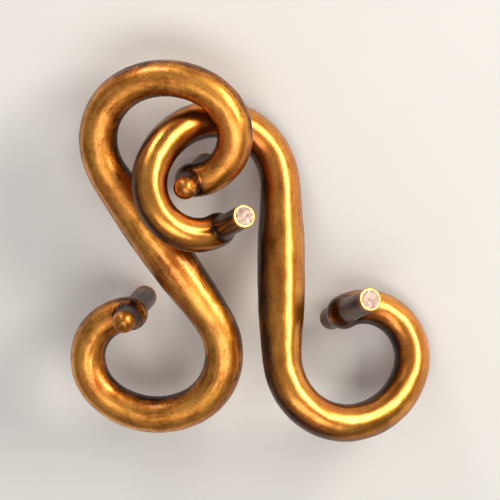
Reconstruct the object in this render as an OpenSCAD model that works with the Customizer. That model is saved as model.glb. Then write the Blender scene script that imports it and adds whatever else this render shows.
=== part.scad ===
// Twisty snake puzzle: two identical cast S-shaped snakes hooked through each other.
// Millimetres, +Z up. The left snake stands on the flat ends of its two cross pegs.
// The right snake is the same casting turned over, tilted and hooked through the left one.

/* [Rod] */
// Length of the straight shaft between the two curls
shaft_length = 27; // [20:0.5:36]
// Rod diameter in the middle of the shaft
rod_middle = 7.5; // [5.5:0.1:9]
// Rod diameter where the curls start
rod_curl = 6.4; // [4.5:0.1:7.7]
// Rod diameter at the tips
rod_tip = 5.4; // [4:0.1:6.6]

/* [Curls] */
// Centre line radius of the first bend after the shaft
near_radius = 9.8; // [8:0.1:13]
// Turn of the first bend in degrees
near_angle = 97; // [80:1:116]
// Centre line radius of the wide bend round the far side
wide_radius = 12.6; // [10:0.1:16]
// Turn of the wide bend in degrees
wide_angle = 67; // [50:1:80]
// Centre line radius of the tight bend at the tip
tip_radius = 7.5; // [6:0.1:9]
// Turn of the tight bend in degrees
tip_angle = 138; // [115:1:155]
// Length over which one bend eases into the next
bend_ease = 2; // [0.5:0.1:4]

/* [Pegs] */
// Diameter of the cross pegs
peg_diameter = 3.7; // [2.5:0.1:4.5]
// Reach of the flat peg end from the middle plane of the rod
peg_flat_reach = 10.9; // [6:0.1:13.1]
// Reach of the domed peg end from the middle plane of the rod
peg_dome_reach = 6.9; // [4:0.1:9]

/* [Pose at rest] */
// Direction of the left snake's shaft seen from above, degrees anticlockwise from +X
left_turn = 127; // [90:0.5:160]
// Turn of the right snake in its own plane before it is turned over
right_turn = 39.3; // [36:0.1:44]
// Tilt of the right snake's plane about the left snake's shaft
right_tilt = 41.7; // [38:0.1:46]
// Offset of the right tight bend from the left one, across the left shaft
link_across = -3.85; // [-4.2:0.05:-3.2]
// Offset of the same bend along the left shaft
link_along = -7.4; // [-8:0.05:-7]
// Offset of the same bend upwards
link_up = 1.55; // [1:0.05:2]
// Smallest gap left between the two snakes
link_gap = 0.45; // [0.35:0.05:0.8]

/* [Hidden] */

// Fineness of the rod: fine steps along one half, steps per ring, sides, rings in each tip
fine_steps = 240;
ring_every = 4;
sides = 28;
tip_rings = 6;
peg_sides = 48;

// Lengths along one half of the centre line, from the middle of the shaft to the tip
near_start = shaft_length / 2;
wide_start = near_start + near_radius * near_angle * PI / 180;
tip_start = wide_start + wide_radius * wide_angle * PI / 180;
half_length = tip_start + tip_radius * tip_angle * PI / 180;
step_length = half_length / fine_steps;

// Turn per millimetre, degrees, eased from one bend to the next
function ease(u) = 1 / (1 + exp(-2 * u / bend_ease));
function turn_rate(s) = 180 / PI * (ease(s - near_start) / near_radius
    + ease(s - wide_start) * (1 / wide_radius - 1 / near_radius)
    + ease(s - tip_start) * (1 / tip_radius - 1 / wide_radius));

// Centre line of one half: [x, y, heading clockwise from +Y, length]
function half_line() = [
    for (i = 0, x = 0, y = 0, h = 0, k = turn_rate(step_length / 2);
         i <= fine_steps;
         x = x + step_length * sin(h + k * step_length / 2),
         y = y + step_length * cos(h + k * step_length / 2),
         h = h + k * step_length,
         i = i + 1,
         k = turn_rate((i + 0.5) * step_length))
        [x, y, h, i * step_length]];
half = half_line();
last = half[fine_steps];

// Rod radius at a fraction u of the half length: a swell in the shaft, then a slow taper
function swell(t) = 1 - t * t * (3 - 2 * t);
function rod_radius(u) = rod_tip / 2 + (rod_curl - rod_tip) / 2 * (1 - u)
    + (rod_middle - rod_curl) / 2 * swell(min(1, max(0, (u - 0.05) / 0.2)));

// Centre of the tight bend, where the two snakes hook
tip_centre = [last[0] + tip_radius * cos(last[2]), last[1] - tip_radius * sin(last[2]), 0];

// Rings of one half: [centre, heading, radius], closed by a half sphere round the peg
ring_count = fine_steps / ring_every;
rings_out = concat(
    [for (i = [1 : ring_count]) let (p = half[i * ring_every])
        [[p[0], p[1], 0], p[2], rod_radius(i / ring_count)]],
    [for (j = [1 : tip_rings]) let (a = 90 * j / (tip_rings + 0.35), r = rod_tip / 2)
        [[last[0] + r * sin(a) * sin(last[2]), last[1] + r * sin(a) * cos(last[2]), 0],
         last[2], r * cos(a)]]);
rings = concat(
    [for (i = [len(rings_out) - 1 : -1 : 0]) let (q = rings_out[i]) [-q[0], q[1], q[2]]],
    [[[0, 0, 0], 0, rod_radius(0)]],
    rings_out);
rod_points = [for (q = rings) for (k = [0 : sides - 1]) let (a = 360 * k / sides)
    q[0] + q[2] * [cos(a) * cos(q[1]), -cos(a) * sin(q[1]), sin(a)]];
rod_faces = concat(
    [[for (k = [sides - 1 : -1 : 0]) k]],
    [for (i = [0 : len(rings) - 2]) for (k = [0 : sides - 1]) let (m = (k + 1) % sides)
        [i * sides + k, i * sides + m, (i + 1) * sides + k]],
    [for (i = [0 : len(rings) - 2]) for (k = [0 : sides - 1]) let (m = (k + 1) % sides)
        [i * sides + m, (i + 1) * sides + m, (i + 1) * sides + k]],
    [[for (k = [0 : sides - 1]) (len(rings) - 1) * sides + k]]);

// Pose of the right snake in the left snake's own frame
right_angles = [0, right_tilt - 180, 0];
function about_z(p, a) = [p[0] * cos(a) - p[1] * sin(a), p[0] * sin(a) + p[1] * cos(a), p[2]];
function about_y(p, a) = [p[0] * cos(a) + p[2] * sin(a), p[1], p[2] * cos(a) - p[0] * sin(a)];
function right_place(p, c) = about_y(about_z(p - tip_centre, right_turn), right_tilt - 180) + c;

// Balls along each snake and points on its peg rims, used to keep the two a gap apart
ball_step = 4;
ball_rod = [for (g = [-1, 1]) for (i = [0 : ball_step : fine_steps])
    [[g * half[i][0], g * half[i][1], 0], rod_radius(i / fine_steps)]];
ball_peg = [for (g = [-1, 1]) for (t = [0 : 0.125 : 1])
    [[g * last[0], g * last[1], t * (peg_dome_reach - peg_diameter / 2)
        - (1 - t) * (peg_flat_reach - peg_diameter / 4)], peg_diameter / 2]];
ball_rim = [for (g = [-1, 1]) for (a = [0 : 45 : 315])
    [[g * last[0] + peg_diameter / 2 * cos(a), g * last[1] + peg_diameter / 2 * sin(a),
        -peg_flat_reach], 0]];
balls = concat(ball_rod, ball_peg, ball_rim);
turned = [for (b = balls) [right_place(b[0], [0, 0, 0]), b[1]]];

// Push the right snake off the left one along their closest line until the gap is there
function tightest(c) = [for (a = balls) for (b = turned)
    let (v = b[0] + c - a[0], g = norm(v) - a[1] - b[1]) if (g < link_gap) [g, v / norm(v)]];
function total(list, i = 0) = i >= len(list) ? [0, 0, 0]
    : list[i][1] * (link_gap - list[i][0]) + total(list, i + 1);
function seat(c, tries) = let (close = tightest(c))
    len(close) == 0 || tries == 0 ? c : seat(c + 0.8 * total(close) / len(close), tries - 1);
link_centre = seat(tip_centre + [link_across, link_along, link_up], 60);

// Floor height in the left snake's frame: under its pegs, or under the right snake if that is lower
right_low = min([for (b = turned) b[0][2] + link_centre[2] - b[1]]);
floor_height = min(-peg_flat_reach, right_low);

// Shift that centres the pair over the origin
left_x = [for (b = balls) each [about_z(b[0], left_turn - 90)[0] - b[1],
    about_z(b[0], left_turn - 90)[0] + b[1]]];
right_x = [for (b = turned) each [about_z(b[0] + link_centre, left_turn - 90)[0] - b[1],
    about_z(b[0] + link_centre, left_turn - 90)[0] + b[1]]];
centre_x = (min(concat(left_x, right_x)) + max(concat(left_x, right_x))) / 2;

module snake() {
    polyhedron(points = rod_points, faces = rod_faces, convexity = 6);
    for (g = [-1, 1]) {
        translate([g * last[0], g * last[1], -peg_flat_reach])
        cylinder(h = peg_flat_reach + peg_dome_reach - peg_diameter / 2, d = peg_diameter, $fn = peg_sides);
        translate([g * last[0], g * last[1], peg_dome_reach - peg_diameter / 2])
        sphere(d = peg_diameter, $fn = peg_sides);
    }
}

module on_floor() {
    translate([-centre_x, 0, -floor_height])
    rotate([0, 0, left_turn - 90])
    children();
}

module left_snake() {
    color("darkgoldenrod")
    on_floor()
    snake();
}

module right_snake() {
    color("goldenrod")
    on_floor()
    translate(link_centre)
    rotate(right_angles)
    rotate([0, 0, right_turn])
    translate(-tip_centre)
    snake();
}

left_snake();
right_snake();
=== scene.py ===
import math

import bpy
import numpy as np
from bpy.props import FloatProperty, FloatVectorProperty, IntProperty, PointerProperty
from mathutils import Matrix, Vector


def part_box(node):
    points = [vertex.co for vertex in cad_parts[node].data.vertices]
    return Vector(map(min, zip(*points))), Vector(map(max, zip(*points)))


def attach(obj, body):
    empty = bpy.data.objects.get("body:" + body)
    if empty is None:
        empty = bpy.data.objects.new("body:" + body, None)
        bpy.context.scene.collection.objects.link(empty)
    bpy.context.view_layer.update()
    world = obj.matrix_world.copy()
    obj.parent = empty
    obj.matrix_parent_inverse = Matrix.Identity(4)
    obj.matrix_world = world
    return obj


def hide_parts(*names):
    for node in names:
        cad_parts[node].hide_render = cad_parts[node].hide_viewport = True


bl_info = {
    "name": "Twisty snake puzzle",
    "version": (1, 0, 0),
    "blender": (4, 2, 0),
    "location": "View3D > Sidebar > Snakes",
    "description": "Casts the two hooked snakes in antiqued brass, and lights them",
    "category": "Object",
}

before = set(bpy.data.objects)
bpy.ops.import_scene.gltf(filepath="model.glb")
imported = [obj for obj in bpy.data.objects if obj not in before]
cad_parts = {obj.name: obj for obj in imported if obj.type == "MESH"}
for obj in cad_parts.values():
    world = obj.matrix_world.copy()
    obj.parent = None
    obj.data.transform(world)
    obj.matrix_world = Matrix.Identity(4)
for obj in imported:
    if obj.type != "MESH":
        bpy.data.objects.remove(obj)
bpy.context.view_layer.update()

MM = 0.001
LEFT_NODE = "left_snake"
RIGHT_NODE = "right_snake"
ENDS = (1.0, -1.0)
ROD_SEEDS = {LEFT_NODE: 11, RIGHT_NODE: 23}
PEG_SEED = 31

# Where the shaft's swell starts to fade and over how much, as shares of the half length.
SWELL_FADE = 0.05
SWELL_SPAN = 0.2

# Fineness of the surfaces: rings along each and sides round it. Rim points only measure a box.
STEPS_PER_RING = 4
TIP_RINGS = 24
PEG_SIDES = 64
FLAT_RINGS = 11
EDGE_RINGS = 8
SIDE_RINGS = 59
DOME_RINGS = 20
FILLET_SIDES = 96
FILLET_RINGS = 14
RIM_POINTS = 96

# How far a peg's cast side sinks below true, and how far a fillet's edge sits under the rod.
PEG_LUMP = 0.03 * MM
FILLET_BURY = 0.012 * MM
# Rows of faces at the outside of a flat peg end that stay brass.
BRASS_ROWS = 1


# ---------------------------------------------------------------- sizes and colours

class SnakeRodSettings(bpy.types.PropertyGroup):
    shaft_length: FloatProperty(
        name="Shaft length", description="Straight length between the two curls",
        default=27.0 * MM, unit="LENGTH")
    rod_middle: FloatProperty(
        name="Middle diameter", description="Rod diameter in the middle of the shaft",
        default=7.5 * MM, unit="LENGTH")
    rod_curl: FloatProperty(
        name="Curl diameter", description="Rod diameter where the curls start",
        default=6.4 * MM, unit="LENGTH")
    rod_tip: FloatProperty(
        name="Tip diameter", description="Rod diameter at the tips",
        default=5.4 * MM, unit="LENGTH")
    near_radius: FloatProperty(
        name="Near bend radius", description="Centre line radius of the first bend",
        default=9.8 * MM, unit="LENGTH")
    near_angle: FloatProperty(
        name="Near bend turn", description="Turn of the first bend",
        default=math.radians(97.0), subtype="ANGLE")
    wide_radius: FloatProperty(
        name="Wide bend radius", description="Centre line radius of the wide bend",
        default=12.6 * MM, unit="LENGTH")
    wide_angle: FloatProperty(
        name="Wide bend turn", description="Turn of the wide bend",
        default=math.radians(67.0), subtype="ANGLE")
    tip_radius: FloatProperty(
        name="Tight bend radius", description="Centre line radius of the bend at the tip",
        default=7.5 * MM, unit="LENGTH")
    tip_angle: FloatProperty(
        name="Tight bend turn", description="Turn of the bend at the tip",
        default=math.radians(138.0), subtype="ANGLE")
    bend_ease: FloatProperty(
        name="Bend ease", description="Length over which one bend eases into the next",
        default=2.0 * MM, unit="LENGTH")
    seam_height: FloatProperty(
        name="Seam height", description="Height of the faint casting seam round the rod",
        default=0.015 * MM, unit="LENGTH")
    lump_height: FloatProperty(
        name="Lump height", description="How far the cast surface sinks below a true rod",
        default=0.06 * MM, unit="LENGTH")
    around: IntProperty(
        name="Sides", description="Faces around the rod", default=88)
    along: IntProperty(
        name="Rings", description="Rings along one half of the rod", default=300)


class SnakePegSettings(bpy.types.PropertyGroup):
    diameter: FloatProperty(
        name="Peg diameter", description="Diameter of the cross pegs",
        default=3.7 * MM, unit="LENGTH")
    flat_reach: FloatProperty(
        name="Flat reach", description="From the rod's middle plane to the flat peg end",
        default=10.9 * MM, unit="LENGTH")
    dome_reach: FloatProperty(
        name="Dome reach", description="From the rod's middle plane to the top of the dome",
        default=6.9 * MM, unit="LENGTH")
    fillet: FloatProperty(
        name="Fillet", description="Radius of the cast fillet where peg meets rod",
        default=0.55 * MM, unit="LENGTH")
    edge: FloatProperty(
        name="Edge", description="Radius worn onto the edge of the flat end",
        default=0.18 * MM, unit="LENGTH")


class SnakePoseSettings(bpy.types.PropertyGroup):
    left_turn: FloatProperty(
        name="Left turn", description="Direction of the left shaft seen from above",
        default=math.radians(127.0), subtype="ANGLE")
    right_turn: FloatProperty(
        name="Right turn", description="Turn of the right snake in its own plane",
        default=math.radians(39.3), subtype="ANGLE")
    right_tilt: FloatProperty(
        name="Right tilt", description="Tilt of the right snake about the left shaft",
        default=math.radians(41.7), subtype="ANGLE")


class SnakeBrassSettings(bpy.types.PropertyGroup):
    rubbed: FloatVectorProperty(
        name="Rubbed brass", description="Colour where handling keeps the brass bright",
        subtype="COLOR", size=3, default=(0.86, 0.38, 0.060))
    toned: FloatVectorProperty(
        name="Toned brass", description="Colour of the antiqued brass",
        subtype="COLOR", size=3, default=(0.46, 0.150, 0.013))
    brown: FloatVectorProperty(
        name="Brown bronze", description="Colour where the patina starts to thin",
        subtype="COLOR", size=3, default=(0.145, 0.048, 0.008))
    patina: FloatVectorProperty(
        name="Patina", description="Dark patina left in the recesses",
        subtype="COLOR", size=3, default=(0.026, 0.011, 0.005))
    bare: FloatVectorProperty(
        name="Bare metal", description="Pale metal on the cut ends of the pegs",
        subtype="COLOR", size=3, default=(0.44, 0.325, 0.275))


class SnakeWearSettings(bpy.types.PropertyGroup):
    left_rubbed: FloatProperty(
        name="Left snake rubbed", description="How much more the left snake is rubbed bright",
        default=0.12)
    right_rubbed: FloatProperty(
        name="Right snake rubbed", description="How much more the right snake is rubbed bright",
        default=0.0)
    left_dull: FloatProperty(
        name="Left snake dull", description="Share of fine scratching on the left snake",
        default=1.0)
    right_dull: FloatProperty(
        name="Right snake dull", description="Share of fine scratching on the right snake",
        default=0.15)


class SnakeStageSettings(bpy.types.PropertyGroup):
    floor: FloatVectorProperty(
        name="Floor", description="Colour of the floor",
        subtype="COLOR", size=3, default=(0.86, 0.85, 0.83))
    floor_size: FloatProperty(
        name="Floor size", description="Side of the square floor",
        default=4.0, unit="LENGTH")
    lens: FloatProperty(
        name="Lens", description="Focal length of the camera in millimetres",
        default=670.0)
    distance: FloatProperty(
        name="Camera distance", description="From the camera to the puzzle",
        default=1.443, unit="LENGTH")


# ---------------------------------------------------------------- shapes

def half_line(rod):
    """Centre line of one half, from the middle of the shaft to the tip.

    The turn per metre is a sum of smooth steps: none on the shaft, then one over each bend's
    radius. Its running sum is the heading, clockwise from +Y, and the running sum of the
    heading's sine and cosine is the line. Returns lengths, points and headings.
    """
    near = rod.shaft_length / 2
    wide = near + rod.near_radius * rod.near_angle
    tip = wide + rod.wide_radius * rod.wide_angle
    total = tip + rod.tip_radius * rod.tip_angle
    fine = rod.along * STEPS_PER_RING
    step = total / fine
    middle = (np.arange(fine) + 0.5) * step

    def ease(u):
        return 1 / (1 + np.exp(-2 * u / rod.bend_ease))

    rate = (ease(middle - near) / rod.near_radius
            + ease(middle - wide) * (1 / rod.wide_radius - 1 / rod.near_radius)
            + ease(middle - tip) * (1 / rod.tip_radius - 1 / rod.wide_radius))
    heading = np.concatenate([[0], np.cumsum(rate * step)])
    facing = heading[:-1] + rate * step / 2
    moves = step * np.stack([np.sin(facing), np.cos(facing)], 1)
    points = np.vstack([[0, 0], np.cumsum(moves, 0)])
    ring = slice(None, None, STEPS_PER_RING)
    return np.linspace(0, total, fine + 1)[ring], points[ring], heading[ring]


def rod_radius(rod, u):
    """Radius at a share u of the half length: the tip's radius, a straight taper from the curl,
    and a smooth swell in the shaft that fades between a twentieth and a quarter of the way."""
    t = np.clip((u - SWELL_FADE) / SWELL_SPAN, 0, 1)
    swell = 1 - t * t * (3 - 2 * t)
    return (rod.rod_tip / 2 + (rod.rod_curl - rod.rod_tip) / 2 * (1 - u)
            + (rod.rod_middle - rod.rod_curl) / 2 * swell)


def wander(points, seed, waves=60, shortest=1.6 * MM, longest=9 * MM):
    """A smooth uneven height between about -1 and 1 at each point: the sum of plane sine waves
    in random directions, longer waves taller, divided by their combined size."""
    growth, crest = 0.6, 1.4
    draw = np.random.default_rng(seed)
    way = draw.normal(size=(waves, 3))
    way /= np.linalg.norm(way, axis=1)[:, None]
    length = shortest * (longest / shortest) ** draw.random(waves)
    tall = length ** growth
    phase = draw.random(waves) * 2 * math.pi
    height = np.sin(points @ (way * (2 * math.pi / length)[:, None]).T + phase) @ tall
    return height / np.sqrt((tall ** 2).sum()) / crest


def sinking(points, seed):
    """How far each point of a cast surface sinks, from 0 to 1, uneven as wander() is."""
    return 0.5 - 0.5 * np.clip(wander(points.reshape(-1, 3), seed), -1, 1)


def rod_wear_and_shade(angle, along, points, tips):
    """How rubbed the rod is, with painted shade, from the angle round it, the share along it and
    the points themselves. Handling rubs the broad faces bright. The flanks are darker, partly
    less rubbed and partly painted shade; the inside of the curls keeps its patina and is darkened
    further as painted shade; and the rod is darkened in a ring round each peg as painted shade."""
    least, by_face, by_inside, by_peg_shade = 0.12, 0.60, 0.13, 0.28
    flank, face_span = 0.12, 0.74
    curl_start, curl_rise = 0.6, 3
    peg_ring, peg_fade = 2.1 * MM, 0.8 * MM
    # Painted shade darkens the flanks, together with real rubbing on the faces.
    face = np.clip((np.abs(np.sin(angle)) - flank) / face_span, 0, 1)
    face = (face * face * (3 - 2 * face))[None, :]
    curl = np.clip(np.abs(along) * curl_rise - curl_start, 0, 1)[:, None]
    way = np.where(along >= 0, 1.0, -1.0)[:, None]
    # The inside of the curls: patina, darkened further as painted shade.
    inside = np.clip(np.cos(angle)[None, :] * way, -1, 1) * curl
    # Painted shade: a dark ring on the rod round each peg.
    near = np.min(np.linalg.norm(points[:, :, None, :2] - tips[None, None], axis=3), 2)
    peg_shade = np.exp(-((near - peg_ring) / peg_fade) ** 2)
    return least + by_face * face - by_inside * inside - by_peg_shade * peg_shade


def rod_surface(rod, seed):
    """The rod as a grid of rings by sides, in the snake's own frame.

    Each ring is a circle across the heading, of the rod's radius there. The line is half_line
    turned by half a turn for the other half, and past each tip the rings shrink as a half
    sphere. The surface sinks below that by sinking(), less towards the poles, except for a low
    ridge at the two sides, the casting seam. Returns points, how rubbed each is together with
    its painted shade, and how each point lies on the rod: across it, up from it and along it.
    """
    length, line, heading = half_line(rod)
    total = length[-1]
    radius = rod_radius(rod, length / total)
    cap = np.linspace(0, math.pi / 2, TIP_RINGS + 2)[1:-1]
    ahead = np.array([math.sin(heading[-1]), math.cos(heading[-1])])
    cap_line = line[-1] + radius[-1] * np.sin(cap)[:, None] * ahead
    centre = np.vstack([line[1:], cap_line])
    size = np.concatenate([radius[1:], radius[-1] * np.cos(cap)])
    turn = np.concatenate([heading[1:], np.full(len(cap), heading[-1])])
    place = np.concatenate([length[1:], total + radius[-1] * np.sin(cap)])
    centre = np.vstack([-centre[::-1], [[0, 0]], centre])
    size = np.concatenate([size[::-1], [radius[0]], size])
    turn = np.concatenate([turn[::-1], [0.0], turn])
    place = np.concatenate([-place[::-1], [0.0], place])

    around = rod.around
    angle = np.arange(around) * 2 * math.pi / around
    side = np.stack([np.cos(turn), -np.sin(turn), np.zeros_like(turn)], 1)
    up = np.array([0, 0, 1.0])
    out = (np.cos(angle)[None, :, None] * side[:, None, :]
           + np.sin(angle)[None, :, None] * up)
    middle = np.concatenate([centre, np.zeros((len(centre), 1))], 1)
    base = middle[:, None, :] + out * size[:, None, None]
    drop = rod.lump_height * sinking(base, seed).reshape(base.shape[:2])
    seam = np.zeros(around)
    seam[[0, around // 2]] = 1
    drop = drop + rod.seam_height * (1 - seam)[None, :]
    pole_fade = 2.5
    drop *= np.clip(size / size.max() * pole_fade, 0, 1)[:, None]
    points = base - out * drop[..., None]

    tips = np.stack([line[-1], -line[-1]])
    wear_and_shade = rod_wear_and_shade(angle, place / total, points, tips)
    lie = np.stack(np.broadcast_arrays(
        size[:, None] * np.cos(angle), size[:, None] * np.sin(angle),
        place[:, None]), 2)
    return points, wear_and_shade, lie


def grid_faces(rows, columns):
    """Quads between neighbouring rows and columns, the last column joined to the first."""
    r = np.arange(rows - 1)[:, None] * columns
    c = np.arange(columns)[None, :]
    n = (c + 1) % columns
    return np.stack([r + c, r + n, r + columns + n, r + columns + c], -1).reshape(-1, 4)


def peg_profile(peg):
    """Profile of a peg from the centre of its flat end to the top of its dome: out along the
    flat, a quarter circle for the worn edge, straight up, then a quarter circle for the dome.
    Returns radius, height and whether each ring belongs to the flat face."""
    r = peg.diameter / 2
    e = peg.edge
    flat = np.linspace(0.0, 1.0, FLAT_RINGS + 1)[1:] * (r - e)
    turn = np.linspace(0, math.pi / 2, EDGE_RINGS + 1)[1:]
    edge_r = r - e + e * np.sin(turn)
    edge_z = -peg.flat_reach + e - e * np.cos(turn)
    dome_base = peg.dome_reach - r
    side_z = np.linspace(-peg.flat_reach + e, dome_base, SIDE_RINGS + 1)[1:]
    lift = np.linspace(0, math.pi / 2, DOME_RINGS + 2)[1:-1]
    radius = np.concatenate([flat, edge_r, np.full(len(side_z), r), r * np.cos(lift)])
    height = np.concatenate([np.full(len(flat), -peg.flat_reach), edge_z, side_z,
                             dome_base + r * np.sin(lift)])
    face = np.concatenate([np.ones(len(flat)), np.zeros(len(radius) - len(flat))])
    return radius, height, face


def peg_surface(peg, tip, seed):
    """A peg as a grid: its profile turned about the line through the rod's tip. Its side sinks
    unevenly, fading towards the top of the dome, and its flat end doesn't."""
    radius, height, face = peg_profile(peg)
    angle = np.arange(PEG_SIDES) * 2 * math.pi / PEG_SIDES
    ring = np.stack([np.cos(angle), np.sin(angle)], 1)
    points = np.concatenate([
        tip[None, None, :] + radius[:, None, None] * ring[None],
        np.broadcast_to(height[:, None, None], (len(radius), PEG_SIDES, 1))], 2)
    drop = PEG_LUMP * sinking(points, seed).reshape(points.shape[:2])
    pole_fade = 2
    drop *= (1 - face)[:, None] * np.clip(radius / radius.max() * pole_fade, 0, 1)[:, None]
    points[:, :, :2] -= drop[..., None] * ring[None]
    return points, face


def peg_wear_and_shade(peg, height, face):
    """How rubbed a peg is, with painted shade: rubbed bright on the rim round the cut face and on
    the dome, and dark between as painted shade along the peg's side."""
    # Painted shade: the peg's side between rim and dome stays at the lowest value.
    least, by_rim, by_dome = 0.14, 0.90, 0.56
    rim_fade, dome_share, dome_fade = 0.45 * MM, 0.55, 0.8 * MM
    rim = np.exp(-np.clip(height + peg.flat_reach, 0, None) / rim_fade)
    dome = np.clip((height - peg.dome_reach + peg.diameter * dome_share) / dome_fade, 0, 1)
    return np.where(face > 0, 1.0, least + by_rim * rim + by_dome * dome)


def fillet_surface(rod, peg, tip, heading, side):
    """The fillet between a peg and the rod's end, as a grid around the peg.

    Under the peg the rod's surface is a half sphere ahead of the peg and a round rod behind it,
    so its height is the root of the tip radius squared less the offset squared, where the
    offset behind is only the part across the rod. The fillet leaves that surface along it at
    the peg's radius plus the fillet's, and climbs a quarter circle to run up the peg's side.
    """
    angle = np.arange(FILLET_SIDES) * 2 * math.pi / FILLET_SIDES
    sweep = np.linspace(0, math.pi / 2, FILLET_RINGS)
    radius = peg.diameter / 2 + peg.fillet * (1 - np.sin(sweep))
    ring = np.stack([np.cos(angle), np.sin(angle)], 1)
    ahead = np.array([math.sin(heading), math.cos(heading)])
    across = np.array([ahead[1], -ahead[0]])
    forward = radius[:, None] * (ring @ ahead)[None, :]
    sideways = radius[:, None] * (ring @ across)[None, :]
    offset = sideways ** 2 + np.where(forward > 0, forward, 0) ** 2
    surface = np.sqrt(np.maximum((rod.rod_tip / 2) ** 2 - offset, 0))
    height = surface + peg.fillet * (1 - np.cos(sweep))[:, None] - FILLET_BURY
    place = tip[None, None, :] + radius[:, None, None] * ring[None]
    points = np.concatenate([place, side * height[..., None]], 2)
    return points if side > 0 else points[:, ::-1]


def close_ends(points):
    """Adds the mean of the first and last rows as poles and returns the pole faces' corners."""
    rows, columns = points.shape[:2]
    flat = points.reshape(-1, 3)
    first, last = flat[:columns].mean(0), flat[-columns:].mean(0)
    at = np.arange(columns)
    n = (at + 1) % columns
    start, end = len(flat), len(flat) + 1
    low = np.stack([n, at, np.full(columns, start)], 1)
    base = (rows - 1) * columns
    high = np.stack([base + at, base + n, np.full(columns, end)], 1)
    return np.vstack([flat, first, last]), low, high


def write_mesh(name, points, quads, triangles, values=None):
    """A mesh from whole arrays of points, quads and triangles, shaded smooth, with one number
    or one vector per point for each named value."""
    mesh = bpy.data.meshes.new(name)
    loops = np.concatenate([quads.ravel(), triangles.ravel()]).astype(np.int32)
    starts = np.concatenate([
        np.arange(len(quads)) * 4,
        len(quads) * 4 + np.arange(len(triangles)) * 3]).astype(np.int32)
    totals = np.concatenate([np.full(len(quads), 4), np.full(len(triangles), 3)])
    mesh.vertices.add(len(points))
    mesh.vertices.foreach_set("co", points.astype(np.float32).ravel())
    mesh.loops.add(len(loops))
    mesh.loops.foreach_set("vertex_index", loops)
    mesh.polygons.add(len(totals))
    mesh.polygons.foreach_set("loop_start", starts)
    mesh.polygons.foreach_set("loop_total", totals.astype(np.int32))
    mesh.polygons.foreach_set("use_smooth", np.ones(len(totals), bool))
    for key, value in (values or {}).items():
        if value.ndim == 1:
            held = mesh.attributes.new(key, "FLOAT", "POINT")
            held.data.foreach_set("value", value.astype(np.float32))
        else:
            held = mesh.attributes.new(key, "FLOAT_VECTOR", "POINT")
            held.data.foreach_set("vector", value.astype(np.float32).ravel())
    mesh.update(calc_edges=True)
    if mesh.validate():
        raise RuntimeError(f"{name}: the mesh had bad faces")
    return mesh


# ---------------------------------------------------------------- placing

def turning(axis, angle):
    return np.array(Matrix.Rotation(angle, 3, axis))


def place_points(node, points):
    """Turns points from the snake's own frame to where that snake lies. The left one only turns
    about the vertical. The right one is turned in its plane, turned over and tilted about the
    left shaft, then turned with it. The shift is left to place_shift()."""
    pose = bpy.context.scene.snake_pose
    spin = turning("Z", pose.left_turn - math.pi / 2)
    if node == RIGHT_NODE:
        spin = spin @ turning("Y", pose.right_tilt - math.pi) @ turning("Z", pose.right_turn)
    return points @ spin.T


def place_shift(node):
    """The shift that brings the plain turned casting onto its CAD node: the difference between
    the middles of their boxes. The plain casting is the rod with no lumps and both pegs."""
    scene = bpy.context.scene
    rod, peg = scene.snake_rod, scene.snake_peg
    length, line, _ = half_line(rod)
    radius = rod_radius(rod, length / length[-1])
    balls = np.concatenate([line, -line])
    balls = np.concatenate([balls, np.zeros((len(balls), 1))], 1)
    size = np.concatenate([radius, radius])
    angle = np.linspace(0, 2 * math.pi, RIM_POINTS, endpoint=False)
    rim = peg.diameter / 2 * np.stack([np.cos(angle), np.sin(angle)], 1)
    rims = np.concatenate([
        np.concatenate([end * line[-1] + rim, np.full((RIM_POINTS, 1), -peg.flat_reach)], 1)
        for end in ENDS])
    domes = np.array([[*(end * line[-1]), peg.dome_reach - peg.diameter / 2] for end in ENDS])
    balls = place_points(node, np.concatenate([balls, rims, domes]))
    size = np.concatenate([size, np.zeros(len(rims)), np.full(len(domes), peg.diameter / 2)])
    low, high = (balls - size[:, None]).min(0), (balls + size[:, None]).max(0)
    box_low, box_high = (np.array(corner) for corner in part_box(node))
    return (box_low + box_high) / 2 - (low + high) / 2


def finish_of(node):
    """How rubbed and how dull a snake is, from the wear settings."""
    wear_and_shade = bpy.context.scene.snake_wear
    if node == LEFT_NODE:
        return wear_and_shade.left_rubbed, wear_and_shade.left_dull
    return wear_and_shade.right_rubbed, wear_and_shade.right_dull


def add_piece(name, node, mesh, materials, stands_for=False):
    """Links one visible piece, riding on its snake. It may stand for that snake's CAD node."""
    piece = bpy.data.objects.new(name, mesh)
    bpy.context.scene.collection.objects.link(piece)
    for material in materials:
        mesh.materials.append(material)
    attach(piece, node)
    if stands_for:
        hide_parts(node)


# ---------------------------------------------------------------- metal

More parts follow.
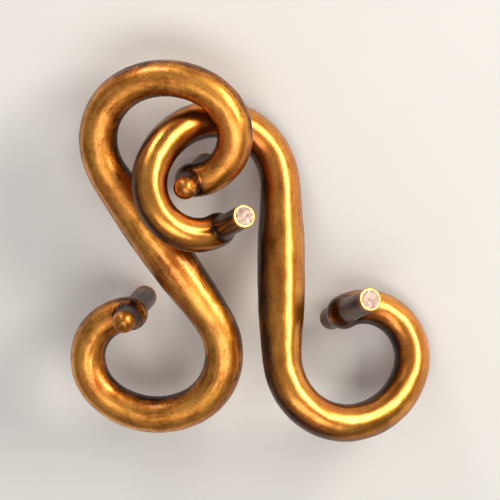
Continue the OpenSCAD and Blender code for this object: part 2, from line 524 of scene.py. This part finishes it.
class Nodes:
    """Short calls for building one material's nodes."""

    def __init__(self, name):
        self.material = bpy.data.materials.new(name)
        self.material.use_nodes = True
        self.tree = self.material.node_tree
        self.tree.nodes.clear()
        self.links = self.tree.links

    def node(self, kind, inputs=None, **settings):
        made = self.tree.nodes.new(kind)
        for key, value in settings.items():
            setattr(made, key, value)
        for key, value in (inputs or {}).items():
            self.join(made.inputs[key], value)
        return made

    def join(self, socket, value):
        if isinstance(value, bpy.types.NodeSocket):
            self.links.new(value, socket)
        elif isinstance(value, bpy.types.Node):
            self.links.new(value.outputs[0], socket)
        else:
            socket.default_value = value

    def math(self, operation, a, b=0.0, clamp=False):
        return self.node("ShaderNodeMath", {0: a, 1: b}, operation=operation,
                         use_clamp=clamp).outputs[0]

    def mix(self, share, a, b, blend="MIX"):
        """Blends colour a into b. Its colour sockets are 6 and 7 in and 2 out."""
        made = self.node("ShaderNodeMix", {0: share, 6: a, 7: b}, data_type="RGBA",
                         blend_type=blend)
        return made.outputs[2]

    def noise(self, where, scale, detail=3.0, rough=0.55, distortion=0.0):
        return self.node("ShaderNodeTexNoise", {
            "Vector": where, "Scale": scale, "Detail": detail, "Roughness": rough,
            "Distortion": distortion}).outputs["Fac"]

    def span(self, value, low, high, to=(0.0, 1.0)):
        """Maps the range from low to high onto the range to."""
        return self.node("ShaderNodeMapRange", {
            "Value": value, "From Min": low, "From Max": high,
            "To Min": to[0], "To Max": to[1]}).outputs["Result"]


def colour(values, share=1.0):
    return tuple(share * value for value in values) + (1.0,)


def brass_material():
    """Antiqued brass. The mesh's value of rubbing and painted shade, plus noise of several sizes,
    and streaks that run along the rod, picks a colour between patina and rubbed brass, with
    redder patches; where the value is low as painted shade, the patina colour stands for shade.
    Dark and scratched metal is rougher. Bump adds shallow dents, fine casting grain, pits and
    hairline scratches."""
    brass = bpy.context.scene.snake_brass
    n = Nodes("antiqued_brass")
    where = n.node("ShaderNodeTexCoord").outputs["Object"]
    wear_and_shade = n.node("ShaderNodeAttribute", attribute_name="wear_and_shade").outputs["Fac"]
    lie = n.node("ShaderNodeAttribute", attribute_name="lie").outputs["Vector"]
    dull = n.node("ShaderNodeAttribute", attribute_name="dull").outputs["Fac"]
    along = n.node("ShaderNodeMapping", {"Vector": lie, "Scale": (1.0, 1.0, 0.13)})
    clouds = n.noise(where, scale=120.0)
    blotch = n.noise(where, scale=380.0, detail=4.0, rough=0.62, distortion=0.4)
    streak = n.noise(along, scale=1500.0, detail=4.0, rough=0.62)
    hair = n.noise(along, scale=5200.0, detail=2.0, rough=0.5)
    speck = n.noise(where, scale=2300.0, rough=0.6)
    pitted = n.noise(where, scale=260.0, detail=2.0, rough=0.5)
    pit = n.math("MULTIPLY", n.span(speck, 0.62, 0.72), n.span(pitted, 0.47, 0.60))

    uneven = n.math("ADD", n.span(clouds, 0.28, 0.72, to=(-0.18, 0.18)),
                    n.span(blotch, 0.28, 0.72, to=(-0.24, 0.20)))
    uneven = n.math("ADD", uneven, n.span(streak, 0.30, 0.70, to=(-0.26, 0.22)))
    uneven = n.math("ADD", uneven, n.span(speck, 0.30, 0.70, to=(-0.15, 0.12)))
    pit_dark, least_uneven = 0.60, 0.42
    uneven = n.math("SUBTRACT", uneven, n.math("MULTIPLY", pit, pit_dark))
    uneven = n.math("MULTIPLY", uneven, n.span(dull, 0.0, 1.0, to=(least_uneven, 1.0)))
    # Rubbing and painted shade from the mesh, made uneven by the noise.
    worn_and_shaded = n.math("ADD", wear_and_shade, uneven, True)
    # The low end of this ramp is patina colour, and also painted shade where the mesh's value is
    # low.
    ramp = n.node("ShaderNodeValToRGB", {"Fac": worn_and_shaded})
    stops = ramp.color_ramp.elements
    stops[0].position, stops[0].color = 0.06, colour(brass.patina)
    stops[1].position, stops[1].color = 0.92, colour(brass.rubbed)
    for place, tone in ((0.28, brass.brown), (0.54, brass.toned)):
        stops.new(place).color = colour(tone)

    reddening = (1.0, 0.76, 0.86)
    patches = n.noise(where, scale=95.0, rough=0.6, distortion=0.3)
    tone = n.mix(n.span(patches, 0.46, 0.66, to=(0.0, 0.75)), ramp.outputs["Color"],
                 colour(reddening), "MULTIPLY")
    rough = n.span(worn_and_shaded, 0.05, 0.85, to=(0.40, 0.24))
    scratched = n.math("MULTIPLY", dull, n.span(hair, 0.3, 0.7, to=(0.06, 0.18)))
    rough = n.math("ADD", rough, scratched)
    rough = n.math("ADD", rough, n.span(blotch, 0.3, 0.7, to=(-0.03, 0.04)))

    dent_height, grain_height, hair_height, pit_depth = 1.1, 0.16, 0.10, 0.8
    dents = n.noise(where, scale=480.0, detail=2.0, rough=0.5)
    height = n.math("MULTIPLY", dents, dent_height)
    height = n.math("ADD", height, n.math("MULTIPLY", speck, grain_height))
    height = n.math("ADD", height, n.math("MULTIPLY", hair, hair_height))
    height = n.math("SUBTRACT", height, n.math("MULTIPLY", pit, pit_depth))
    bump = n.node("ShaderNodeBump", {"Height": height, "Strength": 0.30,
                                     "Distance": 0.00006})
    shader = n.node("ShaderNodeBsdfPrincipled", {
        "Base Color": tone, "Metallic": 1.0, "Roughness": rough,
        "Normal": bump, "Coat Weight": 0.45, "Coat Roughness": 0.20})
    n.node("ShaderNodeOutputMaterial", {"Surface": shader})
    return n.material


def bare_material():
    """Pale cut metal: dull and mottled, with fine grinding marks across the face."""
    brass = bpy.context.scene.snake_brass
    n = Nodes("bare_cut_metal")
    where = n.node("ShaderNodeTexCoord").outputs["Object"]
    stretched = n.node("ShaderNodeMapping", {
        "Vector": where, "Rotation": (0.3, 0.2, 0.7), "Scale": (5200.0, 420.0, 420.0)})
    marks = n.noise(stretched, scale=1.0, detail=2.0, rough=0.5)
    mottle = n.noise(where, scale=1300.0, detail=4.0, rough=0.65)
    stain = n.noise(where, scale=520.0, rough=0.6)
    dull_share, mark_height, mottle_height = 0.45, 0.6, 0.5
    tone = n.mix(n.span(mottle, 0.36, 0.66, to=(0.0, 0.85)), colour(brass.bare),
                 colour(brass.bare, dull_share))
    tone = n.mix(n.span(stain, 0.55, 0.75, to=(0.0, 0.5)), tone, colour(brass.toned))
    rough = n.span(mottle, 0.3, 0.7, to=(0.50, 0.68))
    height = n.math("ADD", n.math("MULTIPLY", marks, mark_height),
                    n.math("MULTIPLY", mottle, mottle_height))
    bump = n.node("ShaderNodeBump", {"Height": height, "Strength": 0.35,
                                     "Distance": 0.00005})
    shader = n.node("ShaderNodeBsdfPrincipled", {
        "Base Color": tone, "Metallic": 1.0, "Roughness": rough, "Normal": bump})
    n.node("ShaderNodeOutputMaterial", {"Surface": shader})
    return n.material


def held_material(name, make):
    return bpy.data.materials.get(name) or make()


# ---------------------------------------------------------------- operators

class SNAKE_OT_rods(bpy.types.Operator):
    """Sweep the two S-shaped rods and lay them on their CAD nodes"""

    bl_idname = "snake.rods"
    bl_label = "Snake rods"

    def execute(self, context):
        rod = context.scene.snake_rod
        metal = held_material("antiqued_brass", brass_material)
        pole_wear_and_shade = 0.3
        for node, seed in ROD_SEEDS.items():
            points, wear_and_shade, lie = rod_surface(rod, seed)
            rows, columns = points.shape[:2]
            flat, low, high = close_ends(points)
            flat = place_points(node, flat) + place_shift(node)
            quads = grid_faces(rows, columns)
            rubbed, dull = finish_of(node)
            poles = np.stack([lie[0].mean(0), lie[-1].mean(0)])
            # One value per point holds rubbing and painted shade together; the snake's rubbed
            # share raises it.
            values = {"wear_and_shade": np.concatenate([wear_and_shade.ravel(), [pole_wear_and_shade] * 2]) + rubbed,
                      "dull": np.full(len(flat), dull),
                      "lie": np.vstack([lie.reshape(-1, 3), poles])}
            mesh = write_mesh(node + "_rod", flat, quads[:, ::-1],
                              np.vstack([low, high])[:, ::-1], values)
            add_piece(node + "_rod", node, mesh, [metal], stands_for=True)
        return {"FINISHED"}


class SNAKE_OT_pegs(bpy.types.Operator):
    """Turn the four cross pegs with their domes, flat ends and cast fillets"""

    bl_idname = "snake.pegs"
    bl_label = "Cross pegs"

    def execute(self, context):
        rod, peg = context.scene.snake_rod, context.scene.snake_peg
        metal = held_material("antiqued_brass", brass_material)
        bare = held_material("bare_cut_metal", bare_material)
        _, line, heading = half_line(rod)
        # The fillets hold a low value, as painted shade in the crease where peg meets rod.
        wear_at_poles, fillet_shade = [0.7, 0.8], 0.20
        for node in (LEFT_NODE, RIGHT_NODE):
            shift = place_shift(node)
            dull = finish_of(node)[1]
            for end, word in zip(ENDS, ("upper", "lower")):
                name = f"{node}_{word}_peg"
                tip = end * line[-1]
                turn = heading[-1] + (0.0 if end > 0 else math.pi)
                points, face = peg_surface(peg, tip, PEG_SEED + int(end))
                rows, columns = points.shape[:2]
                flat, low, high = close_ends(points)
                parts = [flat]
                quads = [grid_faces(rows, columns)]
                wear_and_shade = [np.repeat(peg_wear_and_shade(peg, points[:, 0, 2], face), columns), wear_at_poles]
                count = len(flat)
                for side in (1, -1):
                    ring = fillet_surface(rod, peg, tip, turn, side)
                    parts.append(ring.reshape(-1, 3))
                    quads.append(grid_faces(*ring.shape[:2]) + count)
                    wear_and_shade.append(np.full(FILLET_RINGS * FILLET_SIDES, fillet_shade))
                    count += FILLET_RINGS * FILLET_SIDES
                whole = np.vstack(parts)
                values = {"wear_and_shade": np.concatenate(wear_and_shade), "dull": np.full(len(whole), dull),
                          "lie": whole - [*tip, 0.0]}
                mesh = write_mesh(name, place_points(node, whole) + shift, np.vstack(quads),
                                  np.vstack([low, high]), values)
                add_piece(name, node, mesh, [metal, bare])
                # Bare metal on the flat end's rows and on its pole, whose triangles come last but
                # for the dome's.
                flats = FLAT_RINGS - 1 - BRASS_ROWS
                index = np.zeros(len(mesh.polygons), np.int32)
                index[:flats * columns] = 1
                first_low = len(mesh.polygons) - len(low) - len(high)
                index[first_low:first_low + len(low)] = 1
                mesh.polygons.foreach_set("material_index", index)
                mesh.update()
        return {"FINISHED"}


def aim(thing, place, target, roll_up):
    """Puts a light or camera at place, looking at target, with its top towards roll_up."""
    back = (Vector(place) - Vector(target)).normalized()
    side = Vector(roll_up).cross(back).normalized()
    turn = Matrix((side, back.cross(side), back)).transposed()
    thing.matrix_world = Matrix.Translation(Vector(place)) @ turn.to_4x4()


# The direction from the puzzle to the camera, and the camera's own up and right.
VIEW = Vector((0.1935, 0.2420, 0.9508)).normalized()
VIEW_UP = Vector((-0.0483, 0.9703, -0.2372)).normalized()
VIEW_SIDE = VIEW_UP.cross(VIEW)

# The middle of the puzzle, which the lights look at, and what the camera looks at instead.
MIDDLE = Vector((0.0, 0.0, 0.011))
CAMERA_TARGET = MIDDLE + VIEW_SIDE * (0.7 * MM) + VIEW_UP * (0.2 * MM)

# Soft boxes. Each stands far metres off, in the direction given along the camera's right and up
# and out towards it. Size is in metres and power in watts.
LIGHTS = (
    {"name": "key", "right": 0.64, "up": 0.34, "out": 0.69, "far": 0.80,
     "size": (0.20, 0.50), "power": 5.4, "tint": (1.0, 0.94, 0.85)},
    {"name": "front", "right": 0.10, "up": -0.45, "out": 0.88, "far": 1.00,
     "size": (0.90, 0.40), "power": 3.4, "tint": (1.0, 0.96, 0.91)},
    {"name": "back", "right": -0.38, "up": 0.82, "out": 0.40, "far": 0.80,
     "size": (0.24, 0.24), "power": 1.6, "tint": (1.0, 0.94, 0.97)},
)
DOME_TINT = (1.0, 0.985, 0.96)
DOME_STRENGTH = (0.12, 0.42)
DOME_TOP = 0.95

# The floor sits a hair under the puzzle, and its soft patches are this share of its colour.
FLOOR_DROP = 0.00002
FLOOR_SHADE = 0.96


class SNAKE_OT_stage(bpy.types.Operator):
    """Lay the floor, hang the soft lights and set the camera"""

    bl_idname = "snake.stage"
    bl_label = "Floor, lights and camera"

    def execute(self, context):
        scene = context.scene
        stage = scene.snake_stage
        self.floor(scene, stage)
        for box in LIGHTS:
            self.light(scene, **box)
        self.world(scene)
        self.camera(scene, stage)
        return {"FINISHED"}

    def floor(self, scene, stage):
        half = stage.floor_size / 2
        corners = np.array([[-half, -half, 0], [half, -half, 0], [half, half, 0],
                            [-half, half, 0]]) - [0, 0, FLOOR_DROP]
        mesh = write_mesh("floor", corners, np.array([[0, 1, 2, 3]]), np.zeros((0, 3), int))
        floor = bpy.data.objects.new("floor", mesh)
        scene.collection.objects.link(floor)
        n = Nodes("pale_floor")
        where = n.node("ShaderNodeTexCoord").outputs["Object"]
        soft = n.noise(where, scale=60.0, rough=0.5)
        tone = n.mix(soft, colour(stage.floor), colour(stage.floor, FLOOR_SHADE))
        shader = n.node("ShaderNodeBsdfPrincipled", {"Base Color": tone, "Roughness": 0.75})
        n.node("ShaderNodeOutputMaterial", {"Surface": shader})
        mesh.materials.append(n.material)

    def light(self, scene, name, right, up, out, far, size, power, tint):
        way = (VIEW_SIDE * right + VIEW_UP * up + VIEW * out).normalized()
        light = bpy.data.lights.new(name, "AREA")
        light.shape = "RECTANGLE"
        light.size, light.size_y = size
        light.energy = power
        light.color = tint
        lamp = bpy.data.objects.new(name, light)
        lamp.visible_camera = False
        scene.collection.objects.link(lamp)
        aim(lamp, MIDDLE + way * far, MIDDLE, VIEW_UP)

    def world(self, scene):
        """A soft dome of light, bright overhead and dim towards the horizon."""
        world = bpy.data.worlds.new("studio")
        scene.world = world
        world.use_nodes = True
        nodes, links = world.node_tree.nodes, world.node_tree.links
        back = nodes["Background"]
        way = nodes.new("ShaderNodeTexCoord")
        split = nodes.new("ShaderNodeSeparateXYZ")
        rise = nodes.new("ShaderNodeMapRange")
        rise.interpolation_type = "SMOOTHSTEP"
        rise.inputs["From Min"].default_value = 0.0
        rise.inputs["From Max"].default_value = DOME_TOP
        rise.inputs["To Min"].default_value = DOME_STRENGTH[0]
        rise.inputs["To Max"].default_value = DOME_STRENGTH[1]
        links.new(way.outputs["Generated"], split.inputs["Vector"])
        links.new(split.outputs["Z"], rise.inputs["Value"])
        links.new(rise.outputs["Result"], back.inputs["Strength"])
        back.inputs["Color"].default_value = colour(DOME_TINT)
        scene.view_settings.view_transform = "Standard"

    def camera(self, scene, stage):
        lens = bpy.data.cameras.new("camera")
        lens.lens = stage.lens
        lens.sensor_width = 36.0
        lens.clip_start, lens.clip_end = 0.05, 20.0
        camera = bpy.data.objects.new("camera", lens)
        scene.collection.objects.link(camera)
        aim(camera, CAMERA_TARGET + VIEW * stage.distance, CAMERA_TARGET, VIEW_UP)
        scene.camera = camera


class SNAKE_PT_panel(bpy.types.Panel):
    """Lists the puzzle's steps and sizes"""

    bl_label = "Twisty snake puzzle"
    bl_idname = "SNAKE_PT_panel"
    bl_space_type = "VIEW_3D"
    bl_region_type = "UI"
    bl_category = "Snakes"

    def draw(self, context):
        layout = self.layout
        for step in STEPS:
            layout.operator(step.bl_idname)
        for key in GROUPS:
            box = layout.box()
            group = getattr(context.scene, key)
            for name in group.bl_rna.properties.keys():
                if name not in {"rna_type", "name"}:
                    box.prop(group, name)


GROUPS = {
    "snake_rod": SnakeRodSettings,
    "snake_peg": SnakePegSettings,
    "snake_pose": SnakePoseSettings,
    "snake_brass": SnakeBrassSettings,
    "snake_wear": SnakeWearSettings,
    "snake_stage": SnakeStageSettings,
}
STEPS = (SNAKE_OT_rods, SNAKE_OT_pegs, SNAKE_OT_stage)


def register():
    for group in GROUPS.values():
        bpy.utils.register_class(group)
    for key, group in GROUPS.items():
        setattr(bpy.types.Scene, key, PointerProperty(type=group))
    for step in STEPS:
        bpy.utils.register_class(step)
    bpy.utils.register_class(SNAKE_PT_panel)


def unregister():
    bpy.utils.unregister_class(SNAKE_PT_panel)
    for step in reversed(STEPS):
        bpy.utils.unregister_class(step)
    for key, group in GROUPS.items():
        delattr(bpy.types.Scene, key)
        bpy.utils.unregister_class(group)


def main():
    register()
    bpy.ops.snake.rods()
    bpy.ops.snake.pegs()
    bpy.ops.snake.stage()


if __name__ == "__main__":
    main()
